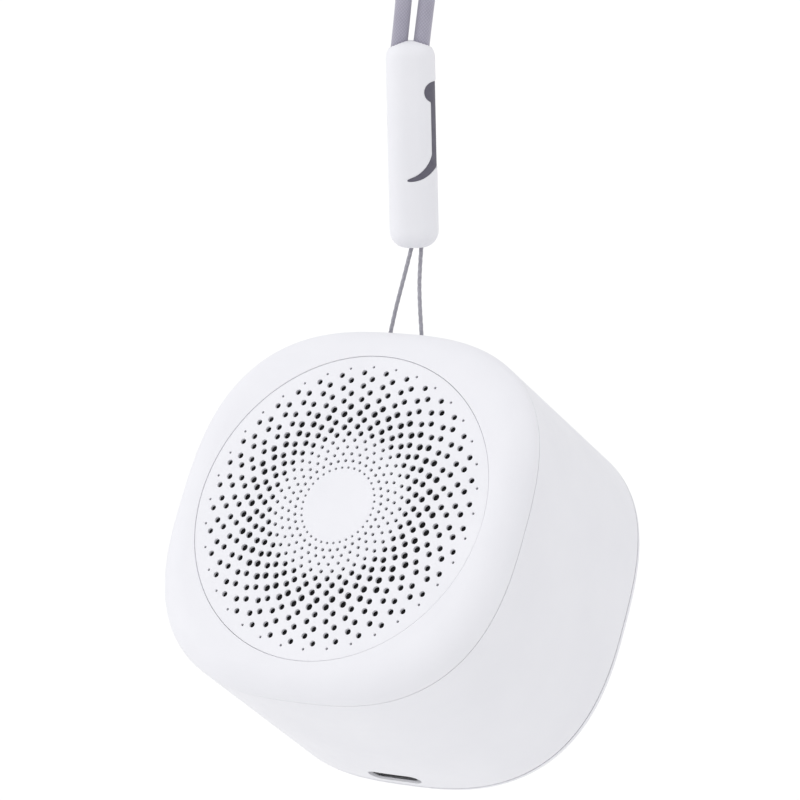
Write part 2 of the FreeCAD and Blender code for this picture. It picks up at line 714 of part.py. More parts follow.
def connector_core():
    core = connector_blank(CORE_RECESS, CONNECTOR_EDGE - CORE_RECESS)
    length = CONNECTOR[2]
    core = core.cut(connector_shell()).cut(end_holes())
    keep = stadium(9, 8, CONNECTOR_END, length - CONNECTOR_END, 0)
    return core.common(keep)


def on_strap(shape):
    across, foot = CONNECTOR_FOOT
    shape.rotate(V(0, 0, 0), V(0, 1, 0), -CONNECTOR_LEAN)
    shape.rotate(V(0, 0, 0), V(0, 0, 1), STRAP_TURN)
    shape.translate(strap_point(across, 0, foot))
    return shape


# ---------------------------------------------------------------- assembly

def hung(shape):
    """Moves a shape from the speaker's own axes to where the speaker hangs."""
    eyelet = V(0, EYELET_DEPTH, EYELET_HEIGHT)
    shape.translate(eyelet * -1)
    shape.rotate(V(0, 0, 0), V(1, 0, 0), -TILT)
    shape.translate(V(0, 0, -STRAP_LENGTH))
    return shape


def string_bight():
    """The part of the string inside the eyelet's tunnel."""
    middle = V(0, EYELET_DEPTH, EYELET_HEIGHT)
    bight = Part.makeTorus(EYELET_SPREAD, STRING_DIAMETER / 2, middle, V(0, 1, 0))
    return bight.cut(box((-9, 9), (0, 12), (EYELET_HEIGHT - 0.3, EYELET_HEIGHT + 9)))


def speaker_parts():
    parts = {
        "grille": grille(),
        "grille_mesh": grille_mesh(),
        "front_bezel": front_bezel(),
        "bezel_seal": seam_seal(FRONT_SEAM, 1),
        "driver_gasket": driver_gasket(),
        "driver_basket": driver_basket(),
        "driver_surround": driver_surround(),
        "driver_cone": driver_cone(),
        "dust_cap": dust_cap(),
        "voice_coil": voice_coil(),
        "coil_former": coil_former(),
        "driver_spider": driver_spider(),
        "top_plate": top_plate(),
        "driver_magnet": driver_magnet(),
        "magnet_yoke": magnet_yoke(),
        "terminal_tab": terminal_tab(),
        "driver_screws": driver_screws(),
        "driver_leads": driver_leads(),
        "main_housing": main_housing(),
        "string_bight": string_bight(),
        "chamber_plate": chamber_plate(),
        "plate_gasket": plate_gasket(),
        "plate_screws": plate_screws(),
        "lead_grommet": lead_grommet(),
        "battery_foam": battery_foam(),
        "battery_cell": battery_cell(),
        "battery_strap": battery_strap(),
        "battery_plug": battery_plug(),
        "battery_leads": battery_leads(),
        "main_board": main_board(),
        "bluetooth_module": bluetooth_module(),
        "amplifier_chip": amplifier_chip(),
        "board_parts": board_parts(),
        "board_screws": board_screws(),
        "tact_switches": tact_switches(),
        "status_led": status_led(),
        "light_pipe": light_pipe(),
        "microphone": microphone(),
        "microphone_gasket": microphone_gasket(),
        "usb_shell": usb_shell(),
        "usb_tongue": usb_tongue(),
        "usb_gasket": usb_gasket(),
        "rear_cover": rear_cover(),
        "rear_seal": seam_seal(REAR_SEAM, -1),
        "rear_screws": rear_screws(),
        "rear_pad": rear_pad(),
    }
    for name, x, radius in BUTTONS:
        parts["button_" + name] = button(x, radius)
    return parts


def strap_parts():
    return {
        "wrist_cord": wrist_cord(),
        "connector_shell": on_strap(connector_shell()),
        "connector_core": on_strap(connector_core()),
        "string_left": strap_cord(LEFT_STRING, STRING_DIAMETER),
        "string_right": strap_cord(RIGHT_STRING, STRING_DIAMETER),
    }


def main():
    os.makedirs("parts", exist_ok=True)
    shapes = {name: hung(shape) for name, shape in speaker_parts().items()}
    shapes.update(strap_parts())
    for name, shape in shapes.items():
        if not shape.isValid() or shape.Volume <= 0:
            print("check", name, shape.isValid(), shape.Volume)
        shape.exportStep("parts/" + name + ".step")
    print(len(shapes), "nodes")


main()
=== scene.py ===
import math

import bmesh
import bpy
from mathutils import Matrix, Vector
from mathutils.geometry import delaunay_2d_cdt


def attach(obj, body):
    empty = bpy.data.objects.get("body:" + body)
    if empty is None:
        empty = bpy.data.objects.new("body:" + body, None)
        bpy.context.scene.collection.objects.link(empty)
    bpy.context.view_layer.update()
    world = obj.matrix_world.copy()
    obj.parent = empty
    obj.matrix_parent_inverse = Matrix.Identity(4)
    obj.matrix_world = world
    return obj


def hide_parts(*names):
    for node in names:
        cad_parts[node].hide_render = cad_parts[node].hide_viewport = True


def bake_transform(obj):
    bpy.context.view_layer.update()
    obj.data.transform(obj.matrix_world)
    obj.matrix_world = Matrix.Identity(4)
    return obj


# Looks of the hanging speaker. Shapes are written in millimetres, in the speaker's own axes
# (X across, Y from the front face into the body, Z up) or the connector's, and are then put
# in the row frame, in metres, as the CAD does it.

MM = 0.001
STEPS = 192                # points round each section of the casing

# Casing, as in the CAD
HALF_FRONT = 32.2
HALF_REAR = 32.8
OUTLINE_POWER = 2.72
FRONT_SEAM = 3.93
REAR_SEAM = 42.97
SEAM_GAP = 0.2
REAR_FACE = 46.5
CROWN_FRONT = 5.2
CROWN_REAR = 4.7
CROWN_STEPS = 14
WALL = 2.0
SKIRT_WALL = 1.5
FIT = 0.15
FRONT_SKIRT_END = 8.5
REAR_SKIRT_END = 40.5
EDGE = 0.12                # softened edges of the mouldings

# Grille
RING_UNIT = 23.55
GRILLE_RADIUS = 26.5
GRILLE_SEAT = 26.56
GRILLE_THICKNESS = 0.5
GRILLE_DOME = 0.44
SEAT_DEPTH = 1.35
RING_FIRST = 0.2794
RING_STEP = 0.0515
RINGS = 15
OUTER_RING = 1.0423
HOLES_PER_RING = 36
RING_TWIST = 0.39
RING_STAGGER = 4.0
HOLE_DIAMETERS = [0.45] + [0.58] * 3 + [0.67, 0.98] + [1.09] * 2 + [1.19] * 2 + [1.04] * 4 + [0.98]
OUTER_HOLE = 0.45
HOLE_EDGE = 0.05
PLATE_EDGE = 0.05
HOLE_SIDES = 20
SMALL_HOLE = 0.3           # holes of this radius or less have fewer sides
SMALL_HOLE_SIDES = 14
PLATE_SIDES = 288
# Radius and number of points of the rings that keep the plate's triangles even
PLATE_RINGS = [(1.4, 12), (2.8, 24), (4.3, 36), (5.7, 48), (25.3, 216)]
BEZEL_OPENING = 23.9
BEZEL_BACK = 3.4

# Rear
COVER_INSIDE = 44.3
PAD_FLOOR = 45.6
PAD_BACK = 46.9
PAD_HALF = 27.2
PAD_INSIDE = 15.5
PAD_RIDGES = 7
RIDGE_DEPTH = 0.25
BUTTONS = [("minus", -10.0, 3.0), ("power", 0.0, 4.2), ("plus", 10.0, 3.0)]
BUTTON_BACK = 46.7
BOARD_BACK = 42.0
LIGHT_HEIGHT = 8.5
MICROPHONE_HEIGHT = -9.0
LIGHT_HOLE = 0.85
MICROPHONE_HOLE = 0.5
BUTTON_GAP = 0.15
FLANGE_WIDTH = 0.7         # of a button, inside the cover
PLUNGER_RADIUS = 1.3
PLUNGER_FRONT = BOARD_BACK + 1.55
MARK_ROOT = BUTTON_BACK - 0.35
MARK_FACE = BUTTON_BACK + 0.06
MARK_WIDTH = 0.4
POWER_WIDTH = 0.36

# Socket and eyelet
SOCKET_CUT = (10.0, 3.4)
SOCKET_CUT_HEIGHTS = (-36, -28)
SOCKET_DEPTH = 39.6
EYELET_DEPTH = 5.5
EYELET_HEIGHT = 32.24
EYELET_SPREAD = 3.1
TUNNEL_RADIUS = 0.85
BLOCK_HALF = 7.0           # the block that holds the eyelet
BLOCK_BACK = 8.2
BLOCK_HEIGHTS = (EYELET_HEIGHT - 5.2, EYELET_HEIGHT - 1.0)

# Strap
STRAP_LENGTH = 140.0
TILT = 30.5
STRAP_TURN = 30.7
STRING_DIAMETER = 0.7
CORD_DIAMETER = 2.7
CORD_SPREAD = 1.8
STRING_EXITS = (-0.33, 1.15)
CONNECTOR = (8.1, 7.0, 34.0)
CONNECTOR_EDGE = 2.9
CONNECTOR_WALL = 1.0
CONNECTOR_END = 2.2
CONNECTOR_FOOT = (1.46, 15.04)
CONNECTOR_LEAN = 1.3
NOTCH_RADIUS = 1.73
NOTCH_ACROSS = 3.85
NOTCH_HEIGHT = 25.5
NOTCH_DEPTHS = (-6.2, 1.95)
SLIT_ACROSS = (3.17, 5.0)
SLIT_DEPTHS = (-6.1, 1.9)
GAP_LOWER = ((4.3, 14.3), (2.2, 11.8), (-1.6, 11.2))
GAP_UPPER = ((-1.6, 11.35), (1.85, 13.0), (SLIT_ACROSS[0], 15.4))
VOXEL = 0.17               # cells that even out the connector's skin

# Routes as points (across the strap, towards its front, height above the eyelet)
LEFT_STRING = [(-2.60, -1.54, 0.35), (-1.62, -1.05, 5.0), (-0.20, -0.35, 10.4), (1.14, 0.0, 15.8)]
RIGHT_STRING = [(2.66, 1.54, 0.35), (2.33, 1.00, 5.1), (2.20, 0.35, 10.5), (2.63, 0.0, 15.8)]
WRIST_CORD = [
    (-1.14, 0.0, 47.6), (-0.52, 0.0, 53.3), (0.0, 0.1, 59.6), (-0.6, 0.3, 69.0), (-2.6, 0.5, 83.0),
    (-5.0, 0.4, 100.0), (-6.6, 0.2, 116.5), (-7.35, 0.0, 129.0), (-7.4, 0.0, 137.0),
    (-3.07, 0.0, 141.35), (3.07, 0.0, 141.35), (7.4, 0.0, 137.0), (7.5, 0.0, 128.6),
    (7.25, -0.2, 116.0), (6.6, -0.4, 99.0), (5.6, -0.5, 82.0), (4.7, -0.3, 68.6),
    (3.95, -0.1, 59.4), (3.12, 0.0, 53.2), (2.46, 0.0, 47.6),
]
BIGHT_POINTS = 5
CORD_SPACING = 0.6
CORD_SIDES = 36
STRING_SPACING = 0.22
STRING_SIDES = 18
PLY_DEPTH = 0.16           # how far the string's plies sink, as a share of its radius
PLY_TURN = 2400            # radians per metre

# Camera and light
CLIP = (0.01, 200)
CAMERA_PLACE = (0.30165, -0.50947, -0.07172)
CAMERA_AIM = (-0.5064, 0.8522, -0.1314)
CAMERA_LENS = 162.65
FLOOR_HEIGHT = -0.9
FLOOR_HALF = 80.0
SKY_STRENGTH = 0.88
SKY_SLOPE = 0.12           # extra strength of the sky towards the left of the main view
LEFT = (-0.86, -0.51, 0.0)
# Name, direction that it comes from, strength and spread in degrees
SUNS = [
    ("softbox", (-0.184, -0.60, 0.78), 0.22, 45.0),
    ("side_light", (-0.86, -0.50, 0.08), 0.70, 60.0),
    ("top_light", (0.45, 0.10, 0.88), 0.50, 60.0),
]

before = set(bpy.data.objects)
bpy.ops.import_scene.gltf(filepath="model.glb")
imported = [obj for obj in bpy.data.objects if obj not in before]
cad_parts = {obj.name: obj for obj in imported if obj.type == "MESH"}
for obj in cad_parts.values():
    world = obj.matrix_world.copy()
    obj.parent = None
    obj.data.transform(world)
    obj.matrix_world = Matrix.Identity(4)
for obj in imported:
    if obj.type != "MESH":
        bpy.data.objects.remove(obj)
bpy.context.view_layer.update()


# ---------------------------------------------------------------- places

def speaker_place():
    """From the speaker's own millimetres to the row frame."""
    eyelet = Vector((0, EYELET_DEPTH, EYELET_HEIGHT))
    tilt = Matrix.Rotation(math.radians(-TILT), 4, "X")
    hung = Matrix.Translation((0, 0, -STRAP_LENGTH)) @ tilt @ Matrix.Translation(-eyelet)
    return Matrix.Scale(MM, 4) @ hung


def strap_point(across, forward, height):
    turn = math.radians(STRAP_TURN)
    x = across * math.cos(turn) + forward * math.sin(turn)
    y = across * math.sin(turn) - forward * math.cos(turn)
    return Vector((x, y, height - STRAP_LENGTH))


def connector_place():
    """From the connector's own millimetres (X across, Y away from its front, Z up from its foot)."""
    across, foot = CONNECTOR_FOOT
    lean = Matrix.Rotation(math.radians(-CONNECTOR_LEAN), 4, "Y")
    turn = Matrix.Rotation(math.radians(STRAP_TURN), 4, "Z")
    return Matrix.Scale(MM, 4) @ Matrix.Translation(strap_point(across, 0, foot)) @ turn @ lean


SPEAKER = speaker_place()
STRAP = connector_place()


# ---------------------------------------------------------------- finishes

class Finish:
    """A material on a Principled shader, built up from noise over the object's own place."""

    def __init__(self, name, roughness, metallic=0.0, **constants):
        self.material = bpy.data.materials.new(name)
        self.material.use_nodes = True
        self.tree = self.material.node_tree
        self.surface = self.tree.nodes["Principled BSDF"]
        self.surface.inputs["Metallic"].default_value = metallic
        for socket, value in constants.items():
            self.surface.inputs[socket.replace("_", " ")].default_value = value
        self.place = self.node("ShaderNodeTexCoord").outputs["Object"]
        self.roughness = roughness

    def node(self, kind, **settings):
        made = self.tree.nodes.new(kind)
        for key, value in settings.items():
            setattr(made, key, value)
        return made

    def link(self, source, target):
        if isinstance(source, bpy.types.NodeSocket):
            self.tree.links.new(source, target)
        else:
            target.default_value = source

    def turned_place(self, turn=(0, 0, 0), stretch=(1, 1, 1)):
        mapping = self.node("ShaderNodeMapping")
        self.link(self.place, mapping.inputs["Vector"])
        mapping.inputs["Rotation"].default_value = [math.radians(angle) for angle in turn]
        mapping.inputs["Scale"].default_value = stretch
        return mapping.outputs["Vector"]

    def noise(self, scale, detail=3.0, place=None):
        texture = self.node("ShaderNodeTexNoise")
        self.link(place or self.place, texture.inputs["Vector"])
        texture.inputs["Scale"].default_value = scale
        texture.inputs["Detail"].default_value = detail
        return texture.outputs["Fac"]

    def math(self, operation, *values):
        made = self.node("ShaderNodeMath", operation=operation)
        for value, socket in zip(values, made.inputs):
            self.link(value, socket)
        return made.outputs[0]

    def between(self, share, low, high, start=0.3, end=0.7):
        """A number from low to high as share goes from start to end."""
        made = self.node("ShaderNodeMapRange")
        for value, name in ((share, "Value"), (start, "From Min"), (end, "From Max"),
                            (low, "To Min"), (high, "To Max")):
            self.link(value, made.inputs[name])
        return made.outputs["Result"]

    def mix(self, share, low, high):
        made = self.node("ShaderNodeMix", data_type="RGBA")
        self.link(share, made.inputs["Factor"])
        for value, socket in ((low, made.inputs[6]), (high, made.inputs[7])):
            self.link((*value, 1.0) if isinstance(value, tuple) else value, socket)
        return made.outputs[2]

    def colour(self, share, low, high):
        self.link(self.mix(share, low, high), self.surface.inputs["Base Color"])

    def rough(self, share):
        low, high = self.roughness
        self.link(self.between(share, low, high), self.surface.inputs["Roughness"])

    def bump(self, height, depth, strength=1.0):
        """Relief of that depth in metres."""
        made = self.node("ShaderNodeBump")
        made.inputs["Strength"].default_value = strength
        made.inputs["Distance"].default_value = depth
        self.link(height, made.inputs["Height"])
        self.link(made.outputs["Normal"], self.surface.inputs["Normal"])


def grained(name, low, high, roughness, grain, fine, depth, **constants):
    """Moulded, cast or painted stuff: slow colour drift, and a fine grain in gloss and relief."""
    finish = Finish(name, roughness, **constants)
    fine_noise = finish.noise(fine, 2.0)
    finish.colour(finish.between(finish.noise(grain, 4.0), 0.0, 1.0), low, high)
    finish.rough(finish.noise(grain * 6, 3.0))
    finish.bump(fine_noise, depth)
    return finish.material


def brushed(name, low, high, roughness, turn=(0, 0, 0), **constants):
    """Metal with fine drawn lines along one way."""
    finish = Finish(name, roughness, 1.0, **constants)
    lines = finish.noise(900, 4.0, finish.turned_place(turn, (0.05, 6, 6)))
    finish.colour(finish.between(lines, 0.0, 1.0), low, high)
    finish.rough(lines)
    finish.bump(lines, 4e-6, 0.6)
    return finish.material


def woven(name, low, high, roughness, pitch, turn=(0, 0, 0), depth=5e-5, **constants):
    """Plain weave of that pitch in metres, across two axes of the turned place."""
    finish = Finish(name, roughness, **constants)
    split = finish.node("ShaderNodeSeparateXYZ")
    finish.link(finish.turned_place(turn), split.inputs[0])
    waves = []
    for axis in ("X", "Z"):
        turns = finish.math("MULTIPLY", split.outputs[axis], math.pi / pitch)
        waves.append((finish.math("SINE", turns), finish.math("COSINE", turns)))
    (warp, warp_side), (weft, weft_side) = waves
    over = finish.math("MULTIPLY", warp, weft)
    across = finish.math("ADD", over, finish.math("ABSOLUTE", warp_side))
    along = finish.math("SUBTRACT", finish.math("ABSOLUTE", weft_side), over)
    height = finish.math("MAXIMUM", across, along)
    fibres = finish.noise(0.6 / pitch, 4.0)
    # The colour is darker where the threads dip under each other: painted shade in the weave, times a random
    # fibre tone.
    groove_shade_and_tone = finish.math("MULTIPLY", finish.between(height, 0.0, 1.0, 0.2, 1.3), fibres)
    finish.colour(finish.between(groove_shade_and_tone, 0.0, 1.0, 0.1, 0.6), low, high)
    finish.rough(fibres)
    finish.bump(height, depth)
    return finish.material


def braided(name, low, high, roughness, strands, turns_per_metre, depth, **constants):
    """A braid of two crossing families of strands, over the tube's UVs (turn, metres along)."""
    finish = Finish(name, roughness, **constants)
    uv = finish.node("ShaderNodeTexCoord").outputs["UV"]
    split = finish.node("ShaderNodeSeparateXYZ")
    finish.link(uv, split.inputs[0])
    round_it = finish.math("MULTIPLY", split.outputs["X"], math.pi * strands)
    along = finish.math("MULTIPLY", split.outputs["Y"], math.pi * turns_per_metre)
    right = finish.math("ADD", round_it, along)
    left = finish.math("SUBTRACT", round_it, along)
    right_crown = finish.math("ABSOLUTE", finish.math("COSINE", right))
    left_crown = finish.math("ABSOLUTE", finish.math("COSINE", left))
    over = finish.math("MULTIPLY", finish.math("COSINE", right), finish.math("COSINE", left))
    right_height = finish.math("ADD", right_crown, over)
    left_height = finish.math("SUBTRACT", left_crown, over)
    height = finish.math("MAXIMUM", right_height, left_height)
    fibres = finish.noise(5200, 3.0)
    drift = finish.noise(260, 2.0)
    # The colour is darker where the strands sink between each other: painted shade in the braid's gaps, plus
    # a random fibre tone and drift.
    groove_shade_and_tone = finish.math("ADD", finish.between(height, 0.0, 0.8, 0.5, 1.9),
                        finish.between(fibres, -0.12, 0.12))
    groove_shade_and_tone = finish.math("ADD", groove_shade_and_tone, finish.between(drift, 0.0, 0.2))
    finish.colour(groove_shade_and_tone, low, high)
    finish.rough(fibres)
    finish.bump(finish.math("ADD", height, finish.between(fibres, 0.0, 0.25)), depth)
    return finish.material


def circuit(name, low, high, roughness):
    """Solder mask with traces under it."""
    finish = Finish(name, roughness, Coat_Weight=0.4, Coat_Roughness=0.2)
    cells = finish.node("ShaderNodeTexVoronoi", feature="DISTANCE_TO_EDGE")
    finish.link(finish.place, cells.inputs["Vector"])
    cells.inputs["Scale"].default_value = 420
    cells.inputs["Randomness"].default_value = 0.35
    traces = finish.between(cells.outputs["Distance"], 1.0, 0.0, 0.05, 0.09)
    finish.colour(traces, low, high)
    finish.rough(finish.noise(3000, 2.0))
    finish.bump(traces, 1.5e-5)
    return finish.material


def clear(name, low, high, roughness):
    finish = Finish(name, roughness, Transmission_Weight=0.6, IOR=1.49)
    cloud = finish.noise(900, 3.0)
    finish.colour(cloud, low, high)
    finish.rough(cloud)
    finish.bump(finish.noise(4000, 2.0), 2e-6)
    return finish.material


def make_finishes():
    """The material of each slot."""
    sheen = {"Sheen_Weight": 0.35, "Sheen_Roughness": 0.5}
    return {
        "casing_white": grained("casing_white", (0.750, 0.750, 0.790), (0.770, 0.770, 0.808),
                                (0.42, 0.52), 90, 5200, 5e-6, Specular_IOR_Level=0.42),
        "grille_white": grained("grille_white", (0.756, 0.756, 0.796), (0.778, 0.778, 0.816),
                                (0.44, 0.54), 110, 4600, 5e-6, Specular_IOR_Level=0.42),
        "mesh_black": woven("mesh_black", (0.002, 0.002, 0.0025), (0.009, 0.009, 0.010),
                            (0.7, 0.9), 2.4e-4, (TILT, 0, 0), Specular_IOR_Level=0.2),
        "seam_rubber": grained("seam_rubber", (0.07, 0.07, 0.075), (0.11, 0.11, 0.118),
                               (0.6, 0.75), 400, 6000, 8e-6),
        "pad_rubber": grained("pad_rubber", (0.56, 0.56, 0.595), (0.61, 0.61, 0.645),
                              (0.55, 0.7), 160, 3600, 1.2e-5, **sheen),
        "button_rubber": grained("button_rubber", (0.70, 0.70, 0.735), (0.735, 0.735, 0.77),
                                 (0.5, 0.62), 200, 4200, 8e-6, **sheen),
        "mark_grey": grained("mark_grey", (0.25, 0.25, 0.27), (0.31, 0.31, 0.33),
                             (0.5, 0.62), 500, 6000, 5e-6),
        "strap_fabric": braided("strap_fabric", (0.29, 0.28, 0.35), (0.40, 0.385, 0.47),
                                (0.75, 0.92), 16, 1700, 2e-5, **sheen),
        "string_fabric": grained("string_fabric", (0.25, 0.245, 0.285), (0.36, 0.355, 0.405),
                                 (0.6, 0.8), 2500, 9000, 2.5e-5, **sheen),
        # The core is a lilac rubber made dark to stand for the shade inside the connector's slot: painted
        # shade.
        "core_rubber": grained("core_rubber", (0.085, 0.08, 0.11), (0.115, 0.11, 0.145),
                               (0.55, 0.7), 500, 5200, 1.2e-5),
        "black_rubber": grained("black_rubber", (0.012, 0.012, 0.012), (0.025, 0.025, 0.026),
                                (0.6, 0.8), 400, 5000, 1e-5),
        "cone_paper": grained("cone_paper", (0.018, 0.018, 0.02), (0.045, 0.044, 0.046),
                              (0.75, 0.9), 900, 4000, 3e-5),
        "spider_cloth": woven("spider_cloth", (0.25, 0.15, 0.05), (0.46, 0.30, 0.12),
                              (0.7, 0.9), 3.5e-4, (TILT, 0, 0)),
        "basket_alloy": grained("basket_alloy", (0.05, 0.05, 0.055), (0.09, 0.09, 0.095),
                                (0.4, 0.55), 700, 3000, 1.5e-5, metallic=0.6),
        "former_foil": brushed("former_foil", (0.60, 0.60, 0.62), (0.78, 0.78, 0.80), (0.25, 0.4)),
        "coil_copper": brushed("coil_copper", (0.50, 0.20, 0.08), (0.80, 0.38, 0.18), (0.2, 0.35)),
        "magnet_iron": grained("magnet_iron", (0.02, 0.02, 0.022), (0.045, 0.044, 0.045),
                               (0.6, 0.8), 700, 3500, 2e-5),
        "plated_iron": brushed("plated_iron", (0.42, 0.42, 0.44), (0.58, 0.58, 0.60), (0.25, 0.4)),
        "screw_steel": brushed("screw_steel", (0.40, 0.40, 0.42), (0.60, 0.60, 0.62), (0.22, 0.38)),
        "inner_plastic": grained("inner_plastic", (0.035, 0.035, 0.04), (0.06, 0.06, 0.066),
                                 (0.5, 0.65), 300, 3000, 1e-5),
        "lead_sleeve": grained("lead_sleeve", (0.30, 0.008, 0.008), (0.42, 0.015, 0.014),
                               (0.3, 0.45), 400, 4000, 5e-6),
        "battery_foil": brushed("battery_foil", (0.48, 0.49, 0.51), (0.62, 0.63, 0.65), (0.3, 0.45)),
        "board_green": circuit("board_green", (0.004, 0.045, 0.018), (0.012, 0.10, 0.04), (0.3, 0.45)),
        "module_can": brushed("module_can", (0.50, 0.50, 0.52), (0.66, 0.66, 0.68), (0.25, 0.4)),
        "chip_black": grained("chip_black", (0.012, 0.012, 0.013), (0.026, 0.026, 0.028),
                              (0.45, 0.6), 900, 7000, 6e-6),
        "socket_plastic": grained("socket_plastic", (0.60, 0.57, 0.48), (0.68, 0.65, 0.56),
                                  (0.45, 0.6), 500, 5000, 6e-6),
        "socket_steel": brushed("socket_steel", (0.42, 0.42, 0.44), (0.62, 0.62, 0.64), (0.2, 0.35),
                                (0, 0, 90)),
        "tongue_plastic": grained("tongue_plastic", (0.008, 0.008, 0.009), (0.018, 0.018, 0.02),
                                  (0.35, 0.5), 500, 5000, 5e-6),
        "clear_plastic": clear("clear_plastic", (0.78, 0.82, 0.88), (0.86, 0.90, 0.95), (0.12, 0.25)),
    }


FINISHES = make_finishes()


# ---------------------------------------------------------------- mesh tools

def turns(steps, start=0.0):
    return [start + 2 * math.pi * k / steps for k in range(steps)]


def circle(radius, depth, x=0.0, z=0.0, steps=STEPS):
    return [Vector((x + radius * math.cos(a), depth, z + radius * math.sin(a))) for a in turns(steps)]


def outline(half, depth):
    points = []
    for angle in turns(STEPS):
        across, up = math.cos(angle), math.sin(angle)
        reach = half / (abs(across) ** OUTLINE_POWER + abs(up) ** OUTLINE_POWER) ** (1 / OUTLINE_POWER)
        points.append(Vector((reach * across, depth, reach * up)))
    return points


def between(first, second, share):
    return [a.lerp(b, share) for a, b in zip(first, second)]


def softened(corners, size=EDGE, steps=4):
    """The corners of an open profile with each inner one rounded over that size."""
    path = [Vector(corner) for corner in corners]
    made = [path[0]]
    for before, corner, after in zip(path, path[1:], path[2:]):
        back = (before - corner).normalized() * min(size, (before - corner).length / 2)
        ahead = (after - corner).normalized() * min(size, (after - corner).length / 2)
        for k in range(steps + 1):
            t = k / steps
            made.append(corner + back * (1 - t) ** 2 + ahead * t ** 2)
    return made + [path[-1]]


def crown(half, seam, face, inset):
    """(half, depth) of the quarter ellipse from the face round to the seam."""
    angles = [math.pi / 2 * (1 - k / CROWN_STEPS) for k in range(CROWN_STEPS + 1)]
    return [(half - inset * (1 - math.cos(a)), seam + (face - seam) * math.sin(a)) for a in angles]


def loft(rings, joined=False, capped=False):
    """Corners and faces of a skin over rings with the same number of points."""
    count = len(rings[0])
    corners = [point for ring in rings for point in ring]
    rows = len(rings)
    faces = []
    for row in range(rows if joined else rows - 1):
        base, above = row * count, (row + 1) % rows * count
        for k in range(count):
            beside = (k + 1) % count
            faces.append((base + k, base + beside, above + beside, above + k))
    if capped:
        for base, ring in ((0, rings[0]), ((rows - 1) * count, rings[-1])):
            middle = len(corners)
            corners.append(sum(ring, Vector()) / count)
            faces += [(base + k, base + (k + 1) % count, middle) for k in range(count)]
    return corners, faces


def joined(*skins):
    corners, faces = [], []
    for points, polygons in skins:
        base = len(corners)
        corners += points
        faces += [tuple(base + k for k in polygon) for polygon in polygons]
    return corners, faces


def revolved(profile, x=0.0, z=0.0, steps=64):
    """A solid of revolution about a line along Y, from (radius, depth) points that start and end on it."""
    rings = [circle(radius, depth, x, z, steps) for radius, depth in profile[1:-1]]
    corners, faces = loft(rings)
    for base, (_, depth) in ((0, profile[0]), ((len(rings) - 1) * steps, profile[-1])):
        middle = len(corners)
        corners.append(Vector((x, depth, z)))
        faces += [(base + k, base + (k + 1) % steps, middle) for k in range(steps)]
    return corners, faces


def shaded(piece, sharp=38):
    """Smooth shading that keeps sharp edges and lets broad faces stay flat."""
    piece.data.shade_smooth()
    piece.data.set_sharp_from_angle(angle=math.radians(sharp))
    weighted = piece.modifiers.new("weighted", "WEIGHTED_NORMAL")
    weighted.keep_sharp = True
    return piece


def applied(piece):
    """Puts the modifiers' result into the mesh."""
    seen = piece.evaluated_get(bpy.context.evaluated_depsgraph_get())
    mesh = bpy.data.meshes.new_from_object(seen)
    piece.modifiers.clear()
    piece.data = mesh
    return piece


def solid(name, skin, finish=None):
    """A mesh object in millimetres, in the axes that its skin is written in."""
    corners, faces = skin
    mesh = bpy.data.meshes.new(name)
    mesh.from_pydata(corners, [], faces)
    work = bmesh.new()
    work.from_mesh(mesh)
    bmesh.ops.recalc_face_normals(work, faces=work.faces)
    work.to_mesh(mesh)
    work.free()
    piece = bpy.data.objects.new(name, mesh)
    bpy.context.scene.collection.objects.link(piece)
    if finish:
        mesh.materials.append(FINISHES[finish])
    return piece


def shaped(piece, cutter, operation="DIFFERENCE"):
    """The piece less the cutter, or joined to it. The cutter is used up."""
    change = piece.modifiers.new("shape", "BOOLEAN")
    change.operation = operation
    change.object = cutter
    change.solver = "EXACT"
    applied(piece)
    bpy.data.objects.remove(cutter)
    return piece


def fitted(piece, place, body, slot, *nodes):
    """Put in its place in the row frame, on that body, to stand for the CAD nodes. The slot is not used."""
    piece.data.transform(place)
    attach(piece, body)
    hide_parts(*nodes)
    return piece


def stadium(width, thickness, height, depth=0.0, steps=20):
    """A ring with round ends in X, at that height along Z."""
    side = (width - thickness) / 2
    radius = thickness / 2
    points = []
    for end, start in ((side, -math.pi / 2), (-side, math.pi / 2)):
        for k in range(steps + 1):
            angle = start + math.pi * k / steps
            points.append(Vector((end + radius * math.cos(angle), depth + radius * math.sin(angle), height)))
    return points


# ---------------------------------------------------------------- front

def hole_places():
    """X, Z and radius of each hole in the grille."""
    rings = [(RING_FIRST + RING_STEP * k, HOLE_DIAMETERS[k]) for k in range(RINGS)]
    rings.append((OUTER_RING, OUTER_HOLE))
    for k, (radius, diameter) in enumerate(rings):
        start = 0.3 + RING_TWIST * k - RING_STAGGER * (k % 2)
        for j in range(HOLES_PER_RING):
            angle = math.radians(start + 360 / HOLES_PER_RING * j)
            reach = radius * RING_UNIT
            yield reach * math.cos(angle), reach * math.sin(angle), diameter / 2


def dome(x, z):
    """Depth of the grille's front at that place."""
    radius = RING_UNIT ** 2 / (2 * GRILLE_DOME)
    return radius - GRILLE_DOME - math.sqrt(radius ** 2 - x ** 2 - z ** 2)


def grille_loops():
    """For each hole and for the rim: its middle, its radius, its edge's width and how many sides it has."""
    for x, z, radius in hole_places():
        yield x, z, radius, HOLE_EDGE, HOLE_SIDES if radius > SMALL_HOLE else SMALL_HOLE_SIDES
    yield 0.0, 0.0, GRILLE_RADIUS, -PLATE_EDGE, PLATE_SIDES


